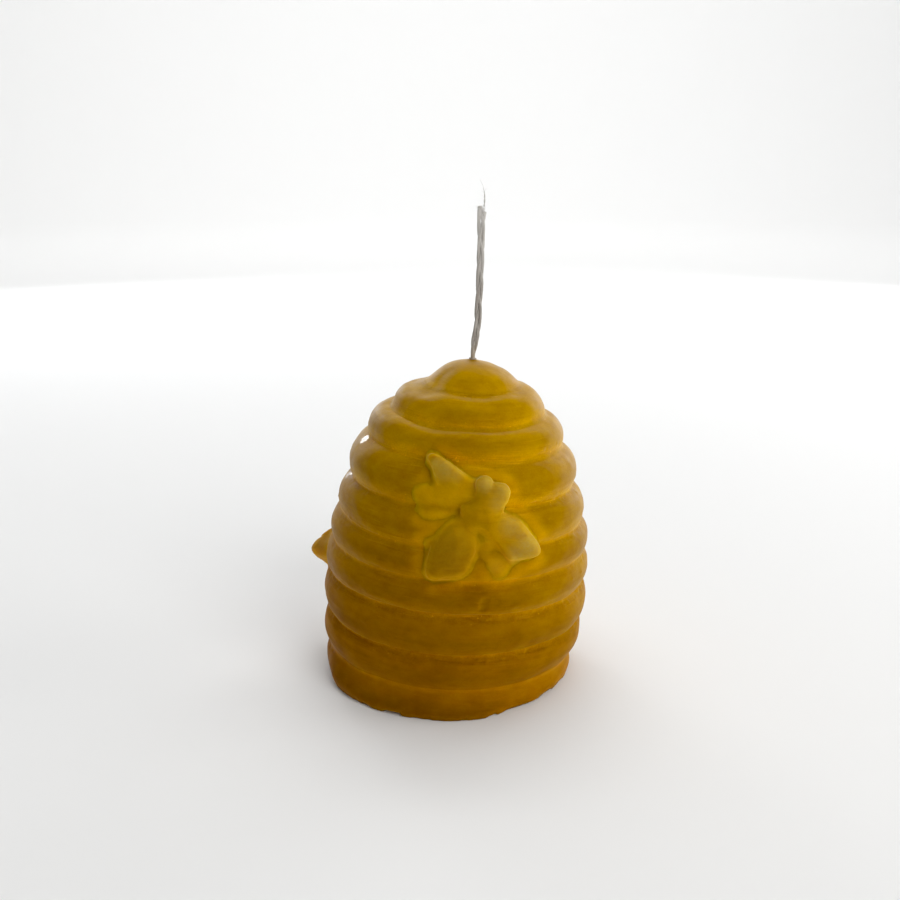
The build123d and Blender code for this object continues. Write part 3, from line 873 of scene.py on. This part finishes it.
def bee_bloom_and_highlight(u, v):
    """Where the wax is thin, proud and pale: bloom, partly a painted highlight."""
    out = np.zeros_like(u)
    for cu, cv, r, w in (
        (-12.6, 18.4, 2.6, 0.85), (-9.9, 16.4, 2.7, 0.70), (-7.0, 15.2, 2.0, 0.45),
        (0.3, 13.0, 2.2, 0.80), (4.8, 11.3, 2.3, 0.75), (3.6, 8.4, 2.2, 0.45),
        (7.8, 2.4, 2.8, 0.60), (10.2, 0.6, 2.2, 0.50), (12.6, -2.4, 3.3, 0.95), (9.8, -4.6, 2.6, 0.70),
        (-15.6, 8.6, 1.9, 0.22), (-14.0, 5.6, 1.7, 0.22), (-7.5, -5.5, 6.0, 0.05), (4.4, -8.4, 2.2, 0.08),
    ):
        out = np.maximum(out, w * np.exp(-(((u - cu) ** 2 + (v - cv) ** 2) / (r * r)) ** 1.3))
    return out


def surface_nets(field, origin, h):
    """Vertices and quads of the zero surface of a 3-D array, in grid axes."""
    nx, ny, nz = field.shape
    neg = field < 0
    cell = np.zeros((nx - 1, ny - 1, nz - 1), np.int8)
    corners = [(i, j, k) for i in (0, 1) for j in (0, 1) for k in (0, 1)]
    for i, j, k in corners:
        cell += neg[i:nx - 1 + i, j:ny - 1 + j, k:nz - 1 + k]
    mixed = (cell > 0) & (cell < 8)
    at = np.argwhere(mixed)
    vals = {c: field[at[:, 0] + c[0], at[:, 1] + c[1], at[:, 2] + c[2]] for c in corners}
    acc = np.zeros((len(at), 3))
    cnt = np.zeros(len(at))
    for c in corners:
        for ax in range(3):
            if c[ax]:
                continue
            e = list(c)
            e[ax] = 1
            va, vb = vals[c], vals[tuple(e)]
            hit = (va < 0) != (vb < 0)
            t = np.where(hit, va / np.where(hit, va - vb, 1), 0)
            p = np.repeat(np.array(c, float)[None], len(at), 0)
            p[:, ax] = t
            acc += p * hit[:, None]
            cnt += hit
    pos = (at + acc / np.maximum(cnt, 1)[:, None]) * h + origin
    vid = -np.ones(mixed.shape, np.int64)
    vid[mixed] = np.arange(len(at))
    quads_out = []
    for ax in range(3):
        o1, o2 = [x for x in range(3) if x != ax]
        sl0 = [slice(None)] * 3
        sl1 = [slice(None)] * 3
        sl0[ax] = slice(0, field.shape[ax] - 1)
        sl1[ax] = slice(1, field.shape[ax])
        a_, b_ = neg[tuple(sl0)], neg[tuple(sl1)]
        e = np.argwhere(a_ != b_)
        ok = (e[:, o1] > 0) & (e[:, o2] > 0) & (e[:, o1] < field.shape[o1] - 1) & (e[:, o2] < field.shape[o2] - 1)
        e = e[ok]
        flip = a_[tuple(e.T)]
        ids = []
        for s1, s2 in ((-1, -1), (0, -1), (0, 0), (-1, 0)):
            g = e.copy()
            g[:, o1] += s1
            g[:, o2] += s2
            ids.append(vid[tuple(g.T)])
        q = np.stack(ids, 1)
        if ax == 1:
            flip = ~flip
        q[~flip] = q[~flip][:, ::-1]
        quads_out.append(q)
    return pos, np.vstack(quads_out)


bvh = BVHTree.FromPolygons([tuple(p) for p in pts], poly)


def body_distance(points):
    out = np.empty(len(points))
    for i, p in enumerate(points):
        q = Vector(p)
        loc, nor, _, dist = bvh.find_nearest(q)
        out[i] = dist if (q - loc).dot(nor) >= 0 else -dist
    return out


def spread_to(coarse, cu, cv, cn, us, vs, ns):
    """Linear interpolation of a coarse 3-D array at the points of a fine grid."""
    out = coarse
    for axis_, (c, f) in enumerate(((cu, us), (cv, vs), (cn, ns))):
        t = np.clip((f - c[0]) / (c[1] - c[0]), 0, len(c) - 1.0001)
        i = t.astype(int)
        w = (t - i).reshape([-1 if k == axis_ else 1 for k in range(3)])
        out = np.take(out, i, axis_) * (1 - w) + np.take(out, i + 1, axis_) * w
    return out


def seat_axes(azimuth, height, radius, tilt, turn):
    a_, t_, k_ = (math.radians(x) for x in (azimuth, tilt, turn))
    side = np.array([math.sin(a_), -math.cos(a_), 0.0])
    axis = np.array([0, 0, 1.0])
    outward = side * math.cos(t_) + axis * math.sin(t_)
    upward = axis * math.cos(t_) - side * math.sin(t_)
    right = np.cross(upward, outward)
    x = right * math.cos(k_) + upward * math.sin(k_)
    y = np.cross(outward, x)
    o = side * radius + axis * height
    return to_row(o), to_row(x), to_row(y), to_row(outward)


def make_bee(name, node_name, seat, seed, step, root, lift):
    o, x, y, nrm = seat_axes(*seat)
    us = np.arange(-19.5, 18.6, step)
    vs = np.arange(-14.8, 22.6, step)
    ns = np.arange(-root - 1.2, 4.6, step)
    cu, cv, cn = np.arange(-20, 20, 0.75), np.arange(-15.5, 24, 0.75), np.arange(-root - 2, 5.6, 0.75)
    G = np.stack(np.meshgrid(cu, cv, cn, indexing="ij"), -1)
    flat = G.reshape(-1, 3)
    db = body_distance(o + flat[:, :1] * x + flat[:, 1:2] * y + flat[:, 2:] * nrm).reshape(G.shape[:3])
    db = spread_to(db, cu, cv, cn, us, vs, ns)
    U, V = np.meshgrid(us, vs, indexing="ij")
    relief = list(bee_relief(U, V))
    relief[3] = relief[3] + lift * smooth(7.0, 13.0, U)
    relief[1] = relief[1] - 2.3 * lift * smooth(9.0, 16.0, V)
    n = ns[None, None, :]
    f = bee_field(U[..., None], V[..., None], n, relief, db, 0.9 * lift)
    g = smin(f, db + 0.16, 1.6)
    edge = np.argwhere(np.abs(g) < 1.2)
    pu, pv, pn = us[edge[:, 0]], vs[edge[:, 1]], ns[edge[:, 2]]
    g[tuple(edge.T)] += 0.10 * noise(pu / 2.6, pv / 2.6, pn / 2.6, seed) + 0.055 * noise(pu / 1.1, pv / 1.1, pn / 1.1, seed + 3)
    g[tuple(edge.T)] += 0.028 * noise(pu / 0.5, pv / 0.5, pn / 0.5, seed + 5)
    g = smax(g, -(n + root) + 0 * f, 0.6)
    g = smax(g, f - 2.4, 0.4)
    pos, quads_ = surface_nets(g, np.array([us[0], vs[0], ns[0]]), step)
    wpos = o + pos[:, :1] * x + pos[:, 1:2] * y + pos[:, 2:] * nrm
    ob = mesh_object(name, wpos, [tuple(int(t) for t in q_) for q_ in quads_], [bee_wax])
    carry(ob, "seam", np.zeros(len(wpos)))
    # painted light: thin edges and undersides are painted lighter; the full abdomen is a little darker
    me_ = ob.data
    nv = np.empty(len(me_.vertices) * 3, np.float32)
    me_.vertex_normals.foreach_get("vector", nv)
    nv = nv.reshape(-1, 3)
    side = np.clip(1 - nv @ np.asarray(nrm), 0, 1)
    full = np.exp(-np.clip(polygon_distance(ABDOMEN, pos[:, 0], pos[:, 1]) + 1.0, 0, None) / 1.5)
    painted_glow = 0.30 * side + 0.30 * smooth(0.30, 0.75, side) + 0.70 * (0.10 - nv[:, 2]) * smooth(0.1, 0.6, side) - 0.24 * full
    # painted light: the right fore wing and the thorax are painted lighter
    painted_glow += 0.50 * np.exp(-((pos[:, 0] - 10.8) ** 2 + (pos[:, 1] + 1.6) ** 2) / 18) + 0.22 * np.exp(-((pos[:, 0] - 2) ** 2 + (pos[:, 1] - 6.5) ** 2) / 16)
    carry(ob, "deep", painted_glow)
    carry(ob, "wet", np.zeros(len(wpos)))
    bee_points.append(wpos[pos[:, 2] > -root + 2.0])
    bee_meshes.append((ob, wpos))
    # pale bloom, partly a painted highlight, on the bees' raised parts
    carry(ob, "bloom_and_highlight", bee_bloom_and_highlight(pos[:, 0], pos[:, 1]) * smooth(-2.4 - 2 * lift, 0.2 - 2 * lift, pos[:, 2]))
    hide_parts(node_name)
    return ob


bee_points = []
bee_meshes = []
bee_step = 0.24
make_bee("bee_front", "front_bee", SEATS["front"], 101, bee_step, 6.5, 0.0)
make_bee("bee_left", "left_bee", SEATS["left"], 202, bee_step, 8.0, 1.15)
make_bee("bee_back", "back_bee", SEATS["back"], 303, bee_step, 7.5, 0.0)

# painted light: the body round each bee is painted lighter, against the shade in the corner
tree = KDTree(sum(len(p) for p in bee_points))
k_ = 0
for p in bee_points:
    for q_ in p:
        tree.insert(q_, k_)
        k_ += 1
tree.balance()
near_bee = np.zeros(len(pts))
centres = [np.mean(p, axis=0) for p in bee_points]
close = np.zeros(len(pts), bool)
for c_ in centres:
    close |= np.linalg.norm(pts - c_, axis=1) < 27
for i_ in np.nonzero(close)[0]:
    dist_ = tree.find(pts[i_])[2]
    near_bee[i_] = math.exp(-((dist_ / 1.7) ** 2))
carry_over = body.data.attributes["deep"].data
now = np.empty(len(pts), np.float32)
carry_over.foreach_get("value", now)
carry_over.foreach_set("value", (now + 0.60 * near_bee).astype(np.float32))
skin = KDTree(int(close.sum()))
for k_, i_ in enumerate(np.nonzero(close)[0]):
    skin.insert(pts[i_], k_)
skin.balance()
# painted light: the bees next to the body are painted lighter too
for ob_, where_ in bee_meshes:
    now = np.empty(len(where_), np.float32)
    ob_.data.attributes["deep"].data.foreach_get("value", now)
    rise_ = np.array([skin.find(p_)[2] for p_ in where_])
    ob_.data.attributes["deep"].data.foreach_set("value", (now + 0.60 * np.exp(-((rise_ / 1.3) ** 2))).astype(np.float32))

# ---------------------------------------------------------------------------
# wick: a flat three-strand braid along the route's own spline
# ---------------------------------------------------------------------------
ROUTE = [
    (0.006649, 0.0, 0.090105),
    (0.006885, 0.0, 0.093305),
    (0.00785, -0.00005, 0.0983),
    (0.00815, 0.00005, 0.1055),
    (0.00842, 0.0, 0.1136),
    (0.00860, 0.00005, 0.1216),
    (0.00863, 0.0, 0.1295),
]
YARN = [
    (0.009310, 0.0, 0.129497),
    (0.009458, -0.000043, 0.131497),
    (0.009274, -0.000123, 0.133197),
    (0.008880, -0.000093, 0.134699),
    (0.008185, -0.000022, 0.136102),
]


def spline_points(name, points):
    """Points along a NURBS spline through the route, as Blender draws it."""
    cu = bpy.data.curves.new(name, "CURVE")
    cu.dimensions = "3D"
    sp = cu.splines.new("NURBS")
    sp.points.add(len(points) - 1)
    for p, co in zip(sp.points, points):
        p.co = (*co, 1)
    sp.order_u = 3
    sp.use_endpoint_u = True
    sp.resolution_u = 24
    cu.resolution_u = 24
    ob = bpy.data.objects.new(name, cu)
    me = bpy.data.meshes.new_from_object(ob)
    line = np.array([v.co[:] for v in me.vertices])
    bpy.data.objects.remove(ob)
    bpy.data.meshes.remove(me)
    return line


def resample(line, count):
    seg = np.linalg.norm(np.diff(line, axis=0), axis=1)
    s = np.concatenate([[0], np.cumsum(seg)])
    t = np.linspace(0, s[-1], count)
    return np.stack([np.interp(t, s, line[:, k]) for k in range(3)], 1), t


def tube(centre, section, frames, cap=True):
    """centre (n,3), section (n,m,2) offsets, frames (n,2,3) side vectors."""
    n, m = section.shape[:2]
    v = centre[:, None, :] + section[..., :1] * frames[:, None, 0] + section[..., 1:] * frames[:, None, 1]
    pts_ = v.reshape(-1, 3)
    ids = np.arange(n * m).reshape(n, m)
    a_ = ids[:-1]
    b_ = ids[1:]
    q = np.stack([a_, np.roll(a_, -1, 1), np.roll(b_, -1, 1), b_], -1).reshape(-1, 4)
    fc = [tuple(int(t) for t in r) for r in q]
    if cap:
        c0, c1 = len(pts_), len(pts_) + 1
        d0 = centre[0] - centre[1]
        d1 = centre[-1] - centre[-2]
        w = float(np.abs(section[-1]).max())
        pts_ = np.vstack([pts_, centre[0], centre[-1] + d1 / np.linalg.norm(d1) * w * 0.25])
        fc += [(c0, int(ids[0][(k + 1) % m]), int(ids[0][k])) for k in range(m)]
        fc += [(c1, int(ids[-1][k]), int(ids[-1][(k + 1) % m])) for k in range(m)]
    return pts_, fc


def frames_along(line, ref):
    t = np.gradient(line, axis=0)
    t /= np.linalg.norm(t, axis=1)[:, None]
    ref = np.array(ref, float)
    s1 = ref - (t @ ref)[:, None] * t
    s1 /= np.linalg.norm(s1, axis=1)[:, None]
    s2 = np.cross(t, s1)
    return t, s1, s2


def turned(s1, s2, angle):
    c, s = np.cos(angle)[:, None], np.sin(angle)[:, None]
    return s1 * c + s2 * s, -s1 * s + s2 * c


line = spline_points("wick_line", ROUTE)
cl, cs = resample(line, 420)
length = float(cs[-1])
t_, s1, s2 = frames_along(cl, (1, 0, 0))
# the flat side faces the front, and the braid turns edge-on where it enters the wax
turn = math.radians(62) * np.exp(-cs / 0.0032) + math.radians(10) * np.sin(cs / 0.011)
f1, f2 = turned(s1, s2, turn)
PITCH = 0.0215
wick_v, wick_f = [], []


def gather(p, f):
    base = sum(len(x) for x in wick_v)
    wick_v.append(p)
    wick_f.extend([tuple(base + i for i in q) for q in f])


spread = 1.0 + 0.22 * smooth(0.030, 0.0385, cs)
tuck = 0.70 + 0.30 * smooth(0.0, 0.004, cs)
for k in range(3):
    ph = 2 * math.pi * (cs / PITCH) + 2 * math.pi * k / 3 + 0.6
    lat = 0.00056 * np.sin(ph + 0.25 * np.sin(2 * ph)) * spread * tuck
    dep = 0.00017 * np.sin(2 * ph) * tuck
    end = [0.985, 0.965, 1.0][k]
    keep = cs <= length * end
    ctr = cl + f1 * lat[:, None] + f2 * dep[:, None]
    ctr = ctr[keep]
    tt, a1, a2 = frames_along(ctr, (1, 0, 0))
    b1_, b2_ = turned(a1, a2, turn[keep])
    th = np.linspace(0, 2 * math.pi, 40, endpoint=False)
    s_here = cs[keep]
    twist = s_here[:, None] * 2 * math.pi / 0.0095 * (1 if k % 2 else -1)
    lobes = 1 + 0.09 * np.cos(3 * th[None] + twist) + 0.05 * np.cos(9 * th[None] - 0.7 * twist)
    rad_a, rad_b = 0.00044, 0.00038
    fray = 1 + 0.25 * smooth(length * end - 0.0022, length * end, s_here)
    sec = np.stack(
        [rad_a * lobes * np.cos(th)[None] * fray[:, None], rad_b * lobes * np.sin(th)[None] * fray[:, None]], -1
    )
    jitter = 1 + 0.03 * noise(s_here[:, None] / 0.0006, th[None] * 2, np.zeros((1, 1)) + k, 7)
    sec = sec * jitter[..., None]
    p, f = tube(ctr, sec, np.stack([b1_, b2_], 1))
    gather(p, f)


def fibre(start, direction, reach, bend, radius, seed):
    r_ = np.random.default_rng(seed)
    n = 9
    p = [np.array(start, float)]
    dirn = np.array(direction, float)
    for _ in range(n):
        dirn = dirn + r_.normal(0, bend, 3)
        dirn /= np.linalg.norm(dirn)
        p.append(p[-1] + dirn * reach / n)
    p = np.array(p)
    tt, a1, a2 = frames_along(p, (0.3, 0.9, 0.2))
    th = np.linspace(0, 2 * math.pi, 5, endpoint=False)
    taper = np.linspace(1, 0.45, len(p))
    sec = np.stack([radius * np.cos(th)[None] * taper[:, None], radius * np.sin(th)[None] * taper[:, None]], -1)
    return tube(p, sec, np.stack([a1, a2], 1))


# cotton fuzz along the braid, and the brush of short ends where it was cut
fz = np.random.default_rng(12)
for i in range(70):
    j = int(fz.uniform(30, 410))
    side = fz.uniform(0, 2 * math.pi)
    out_dir = f1[j] * math.cos(side) + f2[j] * math.sin(side)
    start = cl[j] + f1[j] * math.cos(side) * 0.00078 + f2[j] * math.sin(side) * 0.00045
    gather(*fibre(start, out_dir * 0.35 + t_[j] * fz.choice([-1, 1]) * 0.9, fz.uniform(0.0005, 0.0012), 0.30, 0.000016, 500 + i))
for i in range(54):
    side = fz.uniform(-1, 1)
    dp = fz.uniform(-1, 1)
    j = 405
    start = cl[j] + f1[j] * side * 0.00085 + f2[j] * dp * 0.00030
    gather(*fibre(start, t_[j] + f1[j] * side * 0.25 + f2[j] * dp * 0.2, fz.uniform(0.0008, 0.0017), 0.12, 0.00003, 700 + i))

wick_pts = np.vstack(wick_v)
wick = mesh_object("wick_braid", wick_pts / MM, wick_f, [cotton])
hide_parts("wick_free")

# loose yarn: two plies, thinning to single fibres
yl, ys = resample(spline_points("yarn_line", YARN), 120)
yt, y1, y2 = frames_along(yl, (1, 0, 0))
yv, yf = [], []


def gather_yarn(p, f):
    base = sum(len(x) for x in yv)
    yv.append(p)
    yf.extend([tuple(base + i for i in q) for q in f])


ylen = float(ys[-1])
for k in range(2):
    ph = 2 * math.pi * ys / 0.0026 + math.pi * k
    thin = 1 - 0.78 * smooth(0.0, ylen, ys)
    ctr = yl + (y1 * np.cos(ph)[:, None] + y2 * np.sin(ph)[:, None]) * (0.000115 * thin)[:, None]
    stop = [1.0, 0.55][k]
    keep = ys <= ylen * stop
    ctr = ctr[keep]
    tt, a1, a2 = frames_along(ctr, (1, 0, 0))
    th = np.linspace(0, 2 * math.pi, 10, endpoint=False)
    rr_ = (0.000125 * thin)[keep]
    sec = np.stack([rr_[:, None] * np.cos(th)[None], rr_[:, None] * np.sin(th)[None]], -1)
    gather_yarn(*tube(ctr, sec, np.stack([a1, a2], 1)))
for i in range(12):
    j = int(fz.uniform(10, 80))
    side = fz.uniform(0, 2 * math.pi)
    gather_yarn(*fibre(yl[j], yt[j] * 0.9 + (y1[j] * math.cos(side) + y2[j] * math.sin(side)) * 0.4, fz.uniform(0.0008, 0.0018), 0.22, 0.000018, 900 + i))
yarn_ob = mesh_object("wick_yarn", np.vstack(yv) / MM, yf, [yarn])
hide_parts("wick_loose_yarn")

# the buried wick stays as it is in CAD, in cotton
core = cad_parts["wick_core"]
if core.material_slots:
    for s_ in core.material_slots:
        s_.material = cotton
else:
    core.data.materials.append(cotton)

# ---------------------------------------------------------------------------
# plain pale floor that sweeps up far behind, and soft studio light
# ---------------------------------------------------------------------------
def sweep_floor():
    rings = []
    for r in list(np.linspace(0.0, 2.2, 12)[1:]):
        rings.append((r, 0.0))
    for k in range(1, 17):
        q = math.pi / 2 * k / 16
        rings.append((2.2 + 1.2 * math.sin(q), 1.2 - 1.2 * math.cos(q)))
    rings.append((3.4, 2.6))
    n = 96
    v, f = [(0, 0, 0)], []
    for r, z in rings:
        for k in range(n):
            q = 2 * math.pi * k / n
            v.append((r * math.cos(q), r * math.sin(q), z))
    for k in range(n):
        f.append((0, 1 + k, 1 + (k + 1) % n))
    for j in range(len(rings) - 1):
        for k in range(n):
            a_ = 1 + j * n + k
            b_ = 1 + j * n + (k + 1) % n
            f.append((a_, a_ + n, b_ + n, b_))
    me = bpy.data.meshes.new("floor")
    me.from_pydata(v, [], f)
    me.polygons.foreach_set("use_smooth", [True] * len(me.polygons))
    ob = bpy.data.objects.new("floor", me)
    scene.collection.objects.link(ob)
    m = bpy.data.materials.new("floor")
    m.use_nodes = True
    b = m.node_tree.nodes["Principled BSDF"]
    b.inputs["Base Color"].default_value = (0.80, 0.80, 0.795, 1)
    b.inputs["Roughness"].default_value = 0.9
    b.inputs["Specular IOR Level"].default_value = 0.2
    me.materials.append(m)
    return ob


floor = sweep_floor()

world = bpy.data.worlds.new("world")
scene.world = world
world.use_nodes = True
bg = world.node_tree.nodes["Background"]
bg.inputs["Color"].default_value = (0.94, 0.97, 1.0, 1)
bg.inputs["Strength"].default_value = 0.16


def area(name, loc, aim, size, energy, color=(1, 1, 1)):
    ld = bpy.data.lights.new(name, "AREA")
    ld.shape = "DISK"
    ld.size = size
    ld.energy = energy
    ld.color = color
    ob = bpy.data.objects.new(name, ld)
    scene.collection.objects.link(ob)
    ob.location = loc
    dirn = Vector(aim) - Vector(loc)
    ob.rotation_euler = dirn.to_track_quat("-Z", "Y").to_euler()
    return ob


# the window side: to the right and a little behind
area("key_right", (0.97, 0.02, 0.27), (0, 0, 0.05), 0.6, 2.72, (1.0, 0.985, 0.96))
# soft fill from the viewer's side, a little to the right
area("fill_front", (0.80, -1.15, 0.90), (0, 0, 0.05), 1.1, 12.6, (1.0, 0.99, 0.97))
# windows behind on both sides, which skim the coils
area("rim_left", (-0.43, 0.90, 0.34), (0, 0, 0.06), 0.32, 1.3, (0.93, 0.96, 1.0))
area("rim_right", (0.65, 0.80, 0.30), (0, 0, 0.06), 0.5, 1.9, (0.97, 0.98, 1.0))
# wide soft light over floor and backdrop
area("overhead", (0.0, 1.0, 2.35), (0.0, 0.8, 0), 3.2, 34, (1, 1, 1))
# evens out the backdrop
area("backdrop", (0.0, 1.5, 2.3), (0, 3.4, 0.4), 1.6, 34, (1, 1, 1))

scene.view_settings.view_transform = "Standard"
